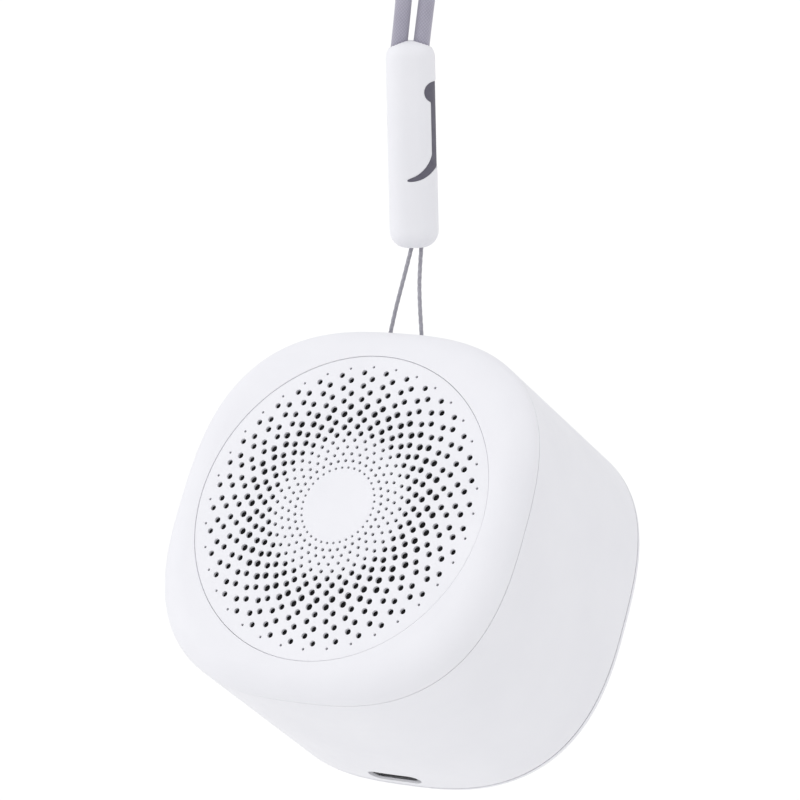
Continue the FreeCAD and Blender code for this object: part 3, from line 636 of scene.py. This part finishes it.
def grille():
    """A domed plate: its flat pattern is triangulated round the holes, and then put on the dome."""
    flat, edges, owner, loops = [], [], [], []
    for x, z, radius, edge, sides in grille_loops():
        base = len(flat)
        loops.append((base, sides, x, z, radius, edge))
        for k, angle in enumerate(turns(sides)):
            reach = radius + edge
            flat.append(Vector((x + reach * math.cos(angle), z + reach * math.sin(angle))))
            edges.append((base + k, base + (k + 1) % sides))
            owner.append(len(loops) - 1)
    for radius, sides in PLATE_RINGS:
        flat += [Vector((radius * math.cos(a), radius * math.sin(a))) for a in turns(sides)]
        owner += [-1 - k for k in range(sides)]
    _, _, triangles, _, _, _ = delaunay_2d_cdt(flat, edges, [], 0, 1e-6)
    rim = len(loops) - 1
    kept = [t for t in triangles
            if owner[t[0]] < 0 or owner[t[0]] == rim or not owner[t[0]] == owner[t[1]] == owner[t[2]]]
    corners = [Vector((p.x, dome(p.x, p.y), p.y)) for p in flat]
    back = len(corners)
    corners += [Vector((p.x, dome(p.x, p.y) + GRILLE_THICKNESS, p.y)) for p in flat]
    faces = [tuple(t) for t in kept] + [tuple(back + k for k in reversed(t)) for t in kept]
    for base, sides, x, z, radius, edge in loops:
        deep = SEAT_DEPTH - dome(radius, 0) if radius == GRILLE_RADIUS else GRILLE_THICKNESS
        levels = [(radius + edge * 0.35, abs(edge) * 0.2), (radius + edge * 0.08, abs(edge) * 0.7),
                  (radius, abs(edge) * 1.4), (radius, deep)]
        rows = [range(base, base + sides)]
        for reach, sunk in levels:
            start = len(corners)
            for angle in turns(sides):
                px, pz = x + reach * math.cos(angle), z + reach * math.sin(angle)
                corners.append(Vector((px, dome(px, pz) + sunk, pz)))
            rows.append(range(start, start + sides))
        rows.append(range(back + base, back + base + sides))
        for upper, lower in zip(rows, rows[1:]):
            for k in range(sides):
                beside = (k + 1) % sides
                faces.append((upper[k], upper[beside], lower[beside], lower[k]))
    plate = solid("grille_plate", (corners, faces), "grille_white")
    return fitted(shaded(plate), SPEAKER, "speaker", "grille_white", "grille")


def front_bezel():
    skirt = HALF_FRONT - WALL - FIT
    side = crown(HALF_FRONT, FRONT_SEAM, 0.0, CROWN_FRONT)
    side += softened([side[-1], (HALF_FRONT, FRONT_SEAM), (skirt, FRONT_SEAM), (skirt, FRONT_SKIRT_END),
                      (skirt - SKIRT_WALL, FRONT_SKIRT_END), (skirt - SKIRT_WALL, BEZEL_BACK)])[1:]
    side = [pair for pair in side if pair[1] < FRONT_SEAM - EDGE or pair[0] < HALF_FRONT - 1e-4]
    seat = softened([(BEZEL_OPENING + 2, BEZEL_BACK), (BEZEL_OPENING, BEZEL_BACK),
                     (BEZEL_OPENING, SEAT_DEPTH), (GRILLE_SEAT, SEAT_DEPTH), (GRILLE_SEAT, 0.0),
                     (GRILLE_SEAT + 0.25, 0.0)])
    rings = [outline(*pair) for pair in side] + [circle(*pair) for pair in seat]
    bezel = solid("bezel_moulding", loft(rings, joined=True), "casing_white")
    return fitted(shaded(bezel), SPEAKER, "speaker", "casing_white", "front_bezel")


# ---------------------------------------------------------------- sleeve

def sleeve_half(depth):
    share = (depth - FRONT_SEAM) / (REAR_SEAM - FRONT_SEAM)
    return HALF_FRONT + share * (HALF_REAR - HALF_FRONT)


def eyelet_cutters():
    middle = Vector((0, EYELET_DEPTH, EYELET_HEIGHT))
    rings = []
    for turn in turns(48):
        out = Vector((math.cos(turn), 0, math.sin(turn)))
        rings.append([middle + out * (EYELET_SPREAD + TUNNEL_RADIUS * math.cos(a))
                      + Vector((0, TUNNEL_RADIUS * math.sin(a), 0)) for a in turns(24)])
    yield loft(rings, joined=True)
    for x in (-EYELET_SPREAD, EYELET_SPREAD):
        levels = ((TUNNEL_RADIUS, -0.55), (TUNNEL_RADIUS + 0.8, 0.25), (TUNNEL_RADIUS + 0.8, 0.6))
        mouth = [[middle + Vector((x + r * math.cos(a), r * math.sin(a), up)) for a in turns(32)]
                 for r, up in levels]
        yield loft(mouth, capped=True)


def main_housing():
    front, back = FRONT_SEAM + SEAM_GAP, REAR_SEAM - SEAM_GAP
    depths = [front + (back - front) * k / 12 for k in range(13)]
    outside = [(sleeve_half(depth), depth) for depth in depths]
    inside = [(half - WALL, depth) for half, depth in reversed(outside)]
    middle_front = (sleeve_half(front) - WALL / 2, front)
    profile = softened([middle_front, *outside, *inside, middle_front], EDGE, 3)[:-1]
    sleeve = solid("sleeve_moulding", loft([outline(*p) for p in profile], joined=True), "casing_white")
    plan = [(-BLOCK_HALF, front + 0.3), (BLOCK_HALF, front + 0.3), (BLOCK_HALF, BLOCK_BACK),
            (-BLOCK_HALF, BLOCK_BACK)]
    block = loft([[Vector((x, y, z)) for x, y in plan] for z in BLOCK_HEIGHTS], capped=True)
    shaped(sleeve, solid("block", block), "UNION")
    for cutter in eyelet_cutters():
        shaped(sleeve, solid("cutter", cutter))
    mouth = loft([stadium(*SOCKET_CUT, height, SOCKET_DEPTH) for height in SOCKET_CUT_HEIGHTS],
                 capped=True)
    shaped(sleeve, solid("cutter", mouth))
    return fitted(shaded(sleeve), SPEAKER, "speaker", "casing_white", "main_housing")


# ---------------------------------------------------------------- rear

def rear_cover():
    skirt = sleeve_half(REAR_SKIRT_END) - WALL - FIT
    side = crown(HALF_REAR, REAR_SEAM, REAR_FACE, CROWN_REAR)
    side += softened([side[-1], (HALF_REAR, REAR_SEAM), (skirt, REAR_SEAM), (skirt, REAR_SKIRT_END),
                      (skirt - SKIRT_WALL, REAR_SKIRT_END), (skirt - SKIRT_WALL, COVER_INSIDE),
                      (PAD_INSIDE, COVER_INSIDE)])[1:]
    side = [pair for pair in side if pair[1] > REAR_SEAM + EDGE or pair[0] < HALF_REAR - 1e-4]
    pocket = PAD_HALF + 0.1
    lip = softened([(PAD_INSIDE + 2, PAD_FLOOR), (pocket, PAD_FLOOR), (pocket, REAR_FACE),
                    (HALF_REAR - CROWN_REAR, REAR_FACE)])[:-1]
    island = softened([(2.0, REAR_FACE), (PAD_INSIDE - 0.1, REAR_FACE), (PAD_INSIDE - 0.1, PAD_FLOOR),
                       (PAD_INSIDE + 1, PAD_FLOOR)])
    rings = [circle(*p) for p in island] + [outline(*p) for p in lip[1:]] + [outline(*p) for p in side]
    cover = solid("cover_moulding", loft(rings, capped=True), "casing_white")
    holes = [(x, 0.0, radius + BUTTON_GAP) for _, x, radius in BUTTONS]
    holes += [(0.0, LIGHT_HEIGHT, LIGHT_HOLE), (0.0, MICROPHONE_HEIGHT, MICROPHONE_HOLE)]
    for x, z, radius in holes:
        drill = loft([circle(radius, depth, x, z, 64) for depth in (40.0, 50.0)], capped=True)
        shaped(cover, solid("cutter", drill))
    return fitted(shaded(cover), SPEAKER, "speaker", "casing_white", "rear_cover")


def rear_pad():
    """A soft ring with raised ridges that follow it from the round middle to the casing's outline."""
    rings = []
    samples = PAD_RIDGES * 10
    for k in range(samples + 1):
        share = k / samples
        ridge = 0.5 - 0.5 * math.cos(2 * math.pi * share * PAD_RIDGES)
        depth = PAD_BACK - RIDGE_DEPTH * (1 - ridge ** 0.6)
        rings.append(between(circle(PAD_INSIDE, depth), outline(PAD_HALF, depth), share))
    rings += [outline(PAD_HALF, PAD_FLOOR), circle(PAD_INSIDE, PAD_FLOOR)]
    pad = solid("grip_pad", loft(rings, joined=True), "pad_rubber")
    return fitted(shaded(pad), SPEAKER, "speaker", "pad_rubber", "rear_pad")


def bar(width, height, x, z, turn=0.0):
    """A mark with round ends that stands on a button."""
    rings = []
    for depth, grow in ((MARK_ROOT, 0.0), (MARK_FACE - 0.05, 0.0), (MARK_FACE, -0.05)):
        ring = stadium(width + 2 * grow, height + 2 * grow, 0.0, 0.0, 8)
        points = [Matrix.Rotation(turn, 3, "Z") @ point for point in ring]
        rings.append([Vector((x + p.x, depth, z + p.y)) for p in points])
    return loft(rings, capped=True)


def power_arc(x, radius, width):
    """Three quarters of a ring, open at the top."""
    rings = []
    for k in range(41):
        angle = math.radians(90 + 38 + (360 - 76) * k / 40)
        inner, outer = radius - width / 2, radius + width / 2
        section = ((inner, MARK_ROOT), (outer, MARK_ROOT), (outer, MARK_FACE), (inner, MARK_FACE))
        rings.append([Vector((x + reach * math.cos(angle), depth, reach * math.sin(angle)))
                      for reach, depth in section])
    return loft(rings, capped=True)


def marks(name, x):
    if name == "power":
        return joined(power_arc(x, 1.35, POWER_WIDTH), bar(1.5, POWER_WIDTH, x, 1.1, math.pi / 2))
    upright = [bar(2.2, MARK_WIDTH, x, 0.0, math.pi / 2)] if name == "plus" else []
    return joined(bar(2.2, MARK_WIDTH, x, 0.0), *upright)


def buttons():
    for name, x, radius in BUTTONS:
        flange = radius + FLANGE_WIDTH
        cap = [(0, BUTTON_BACK - 0.12), (radius * 0.5, BUTTON_BACK - 0.09), (radius - 0.5, BUTTON_BACK)]
        cap += softened([cap[-1], (radius, BUTTON_BACK), (radius, COVER_INSIDE - 0.1)], 0.35, 6)[1:]
        cap += [(flange, COVER_INSIDE - 0.1), (flange, COVER_INSIDE - 0.5),
                (PLUNGER_RADIUS, COVER_INSIDE - 0.5), (PLUNGER_RADIUS, PLUNGER_FRONT), (0, PLUNGER_FRONT)]
        body = "button_" + name
        key = solid(name + "_key", revolved(cap, x), "button_rubber")
        fitted(shaded(key), SPEAKER, body, "button_rubber", body)
        mark = solid(name + "_mark", marks(name, x), "mark_grey")
        mark.data.transform(SPEAKER)
        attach(shaded(mark), body)


# ---------------------------------------------------------------- connector

def arc(first, middle, last, steps=14):
    """Points of the circle through three points, from the first to the last."""
    a, b, c = Vector(first), Vector(middle), Vector(last)
    d = 2 * (a.x * (b.y - c.y) + b.x * (c.y - a.y) + c.x * (a.y - b.y))
    sizes = [p.length_squared for p in (a, b, c)]
    x = (sizes[0] * (b.y - c.y) + sizes[1] * (c.y - a.y) + sizes[2] * (a.y - b.y)) / d
    y = (sizes[0] * (c.x - b.x) + sizes[1] * (a.x - c.x) + sizes[2] * (b.x - a.x)) / d
    centre = Vector((x, y))
    start = (a - centre).angle_signed(c - centre)
    way = (a - centre).angle_signed(b - centre)
    sweep = start if start * way > 0 else start - math.copysign(2 * math.pi, start)
    radius = a - centre
    return [centre + Matrix.Rotation(-sweep * k / steps, 2) @ radius for k in range(steps + 1)]


def slot_cutter():
    """The slit at the side and the curved gap across the front."""
    inner, outer = SLIT_ACROSS
    path = [Vector((inner, NOTCH_HEIGHT)), Vector((outer, NOTCH_HEIGHT)), Vector((outer, 14.7))]
    path += arc(*GAP_LOWER) + arc(*GAP_UPPER)
    return loft([[Vector((p.x, depth, p.y)) for p in path] for depth in SLIT_DEPTHS], capped=True)


def across_hole(radius, x, height, low, high):
    ring = [[Vector((x + radius * math.cos(a), depth, height + radius * math.sin(a))) for a in turns(48)]
            for depth in (low, high)]
    return loft(ring, capped=True)


def upright_hole(radius, x, low, high):
    return loft([[Vector((x + radius * math.cos(a), radius * math.sin(a), height)) for a in turns(32)]
                 for height in (low, high)], capped=True)


def connector_shell():
    width, thickness, length = CONNECTOR
    rings = []
    for end in (0, 1):
        for k in range(9):
            angle = math.pi / 2 * (k / 8 if end == 0 else 1 - k / 8)
            inset = CONNECTOR_EDGE * (1 - math.sin(angle))
            rise = CONNECTOR_EDGE * (1 - math.cos(angle))
            height = rise if end == 0 else length - rise
            rings.append(stadium(width - 2 * inset, thickness - 2 * inset, height))
    shell = solid("connector_moulding", loft(rings, capped=True), "casing_white")
    wide, thick = width - 2 * CONNECTOR_WALL, thickness - 2 * CONNECTOR_WALL
    ends = (CONNECTOR_END, length - CONNECTOR_END)
    cutters = [loft([stadium(wide, thick, height) for height in ends], capped=True), slot_cutter(),
               across_hole(NOTCH_RADIUS, NOTCH_ACROSS, NOTCH_HEIGHT, *NOTCH_DEPTHS)]
    cutters += [upright_hole(CORD_DIAMETER / 2 + 0.25, x, length - 3, length + 1)
                for x in (-CORD_SPREAD, CORD_SPREAD)]
    cutters += [upright_hole(STRING_DIAMETER / 2 + 0.2, x, -1, 3) for x in STRING_EXITS]
    for cutter in cutters:
        shaped(shell, solid("cutter", cutter))
    even = shell.modifiers.new("even", "REMESH")
    even.mode = "VOXEL"
    even.voxel_size = VOXEL
    soft = shell.modifiers.new("soft", "SMOOTH")
    soft.factor = 0.5
    soft.iterations = 3
    applied(shell)
    shell.data.shade_smooth()
    return fitted(shell, STRAP, "strap", "casing_white", "connector_shell")


# ---------------------------------------------------------------- cords

def even_points(points, spacing):
    """The polyline resampled at about that spacing, ends included."""
    lengths = [0.0]
    for a, b in zip(points, points[1:]):
        lengths.append(lengths[-1] + (b - a).length)
    count = max(2, round(lengths[-1] / spacing))
    made, k = [], 0
    for j in range(count + 1):
        place = lengths[-1] * j / count
        while k < len(points) - 2 and lengths[k + 1] < place:
            k += 1
        run = lengths[k + 1] - lengths[k]
        made.append(points[k].lerp(points[k + 1], (place - lengths[k]) / run))
    return made


def nurbs_line(name, route, spacing):
    """Points along a NURBS curve whose control points are the route's, in metres."""
    curve = bpy.data.curves.new(name, "CURVE")
    curve.dimensions = "3D"
    curve.resolution_u = 32
    spline = curve.splines.new("NURBS")
    spline.points.add(len(route) - 1)
    for point, place in zip(spline.points, route):
        point.co = (*place, 1.0)
    spline.order_u = 3
    spline.use_endpoint_u = True
    guide = bpy.data.objects.new(name, curve)
    bpy.context.scene.collection.objects.link(guide)
    mesh = bpy.data.meshes.new_from_object(guide)
    points = [vertex.co.copy() for vertex in mesh.vertices]
    bpy.data.objects.remove(guide)
    bpy.data.meshes.remove(mesh)
    return even_points(points, spacing)


def tube(name, line, radius_at, sides, finish):
    """A tube along the line, with UVs (turn, metres along). radius_at takes the turn and the place."""
    normal = (line[1] - line[0]).orthogonal().normalized()
    corners, along, places = [], (line[1] - line[0]).normalized(), []
    travelled = 0.0
    for k, point in enumerate(line):
        ahead = (line[min(k + 1, len(line) - 1)] - line[max(k - 1, 0)]).normalized()
        normal = along.rotation_difference(ahead) @ normal
        along = ahead
        travelled += (point - line[k - 1]).length if k else 0.0
        places.append(travelled)
        side = along.cross(normal)
        for angle in turns(sides):
            out = normal * math.cos(angle) + side * math.sin(angle)
            corners.append(point + out * radius_at(angle, travelled))
    faces, uvs = [], []
    for row in range(len(line) - 1):
        for k in range(sides):
            beside = (k + 1) % sides
            base, above = row * sides, (row + 1) * sides
            faces.append((base + k, base + beside, above + beside, above + k))
            uvs += [(k / sides, places[row]), ((k + 1) / sides, places[row]),
                    ((k + 1) / sides, places[row + 1]), (k / sides, places[row + 1])]
    for base, row in ((0, 0), ((len(line) - 1) * sides, -1)):
        ring = [base + k for k in range(sides)]
        faces.append(tuple(reversed(ring)) if base == 0 else tuple(ring))
        uvs += [(0.0, places[row])] * sides
    mesh = bpy.data.meshes.new(name)
    mesh.from_pydata(corners, [], faces)
    layer = mesh.uv_layers.new(name="along")
    for loop, uv in zip(layer.data, uvs):
        loop.uv = uv
    mesh.shade_smooth()
    mesh.materials.append(FINISHES[finish])
    piece = bpy.data.objects.new(name, mesh)
    bpy.context.scene.collection.objects.link(piece)
    return piece


def wrist_cord():
    route = [strap_point(*point) * MM for point in WRIST_CORD]
    line = nurbs_line("cord_guide", route, CORD_SPACING * MM)
    radius = CORD_DIAMETER / 2 * MM
    cord = tube("wrist_loop", line, lambda turn, place: radius, CORD_SIDES, "strap_fabric")
    fitted(cord, Matrix(), "strap", "strap_fabric", "wrist_cord")


def bight():
    """Control points of the string's half turn through the eyelet, from its left mouth to its right."""
    step = math.pi / BIGHT_POINTS
    reach = EYELET_SPREAD / math.cos(step / 2)
    middle = Vector((0, EYELET_DEPTH, EYELET_HEIGHT))
    angles = [math.pi + step * (k + 0.5) for k in range(BIGHT_POINTS)]
    return [SPEAKER @ (middle + Vector((reach * math.cos(a), 0, reach * math.sin(a)))) for a in angles]


def string():
    left = [strap_point(*point) * MM for point in reversed(LEFT_STRING)]
    right = [strap_point(*point) * MM for point in RIGHT_STRING]
    line = nurbs_line("string_guide", left + bight() + right, STRING_SPACING * MM)
    radius = STRING_DIAMETER / 2 * MM

    def ply(turn, place):
        return radius * (1 - PLY_DEPTH + PLY_DEPTH * abs(math.cos(1.5 * turn - PLY_TURN * place)))

    twine = tube("twine", line, ply, STRING_SIDES, "string_fabric")
    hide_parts("string_left", "string_right", "string_bight")
    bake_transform(twine)


# ---------------------------------------------------------------- stage

def stage():
    square = ((-1, -1), (1, -1), (1, 1), (-1, 1))
    corners = [(x * FLOOR_HALF, y * FLOOR_HALF, FLOOR_HEIGHT) for x, y in square]
    mesh = bpy.data.meshes.new("floor")
    mesh.from_pydata(corners, [], [(0, 1, 2, 3)])
    pale = Finish("floor_pale", (0.8, 0.9))
    cloud = pale.noise(3.0, 2.0)
    pale.colour(cloud, (0.93, 0.93, 0.93), (0.95, 0.95, 0.95))
    pale.rough(cloud)
    mesh.materials.append(pale.material)
    floor = bpy.data.objects.new("floor", mesh)
    bpy.context.scene.collection.objects.link(floor)


def lights():
    world = bpy.data.worlds.new("studio")
    world.use_nodes = True
    world.node_tree.nodes["Background"].inputs["Color"].default_value = (1, 1, 1, 1)
    nodes, links = world.node_tree.nodes, world.node_tree.links
    facing = nodes.new("ShaderNodeVectorMath")
    facing.operation = "DOT_PRODUCT"
    facing.inputs[1].default_value = LEFT
    links.new(nodes.new("ShaderNodeTexCoord").outputs["Generated"], facing.inputs[0])
    slope = nodes.new("ShaderNodeMath")
    slope.operation = "MULTIPLY_ADD"
    slope.inputs[1].default_value = SKY_SLOPE
    slope.inputs[2].default_value = SKY_STRENGTH
    links.new(facing.outputs["Value"], slope.inputs[0])
    links.new(slope.outputs["Value"], nodes["Background"].inputs["Strength"])
    bpy.context.scene.world = world
    for name, source, strength, spread in SUNS:
        lamp = bpy.data.lights.new(name, "SUN")
        lamp.energy = strength
        lamp.angle = math.radians(spread)
        sun = bpy.data.objects.new(name, lamp)
        sun.rotation_mode = "QUATERNION"
        sun.rotation_quaternion = Vector(source).to_track_quat("Z", "Y")
        bpy.context.scene.collection.objects.link(sun)


def camera():
    lens = bpy.data.cameras.new("camera")
    lens.lens = CAMERA_LENS
    lens.clip_start, lens.clip_end = CLIP
    eye = bpy.data.objects.new("camera", lens)
    eye.location = CAMERA_PLACE
    eye.rotation_mode = "QUATERNION"
    eye.rotation_quaternion = Vector(CAMERA_AIM).to_track_quat("-Z", "Y")
    bpy.context.scene.collection.objects.link(eye)
    bpy.context.scene.camera = eye


def repaint():
    """Each CAD node that is still shown takes the finish of its slot."""
    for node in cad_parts.values():
        for slot in node.material_slots:
            name = slot.material.name.split(".")[0]
            slot.material = FINISHES[name]


camera()
wrist_cord()
string()
grille()
front_bezel()
main_housing()
rear_cover()
rear_pad()
buttons()
connector_shell()
repaint()
stage()
lights()
bpy.context.scene.view_settings.view_transform = "Standard"
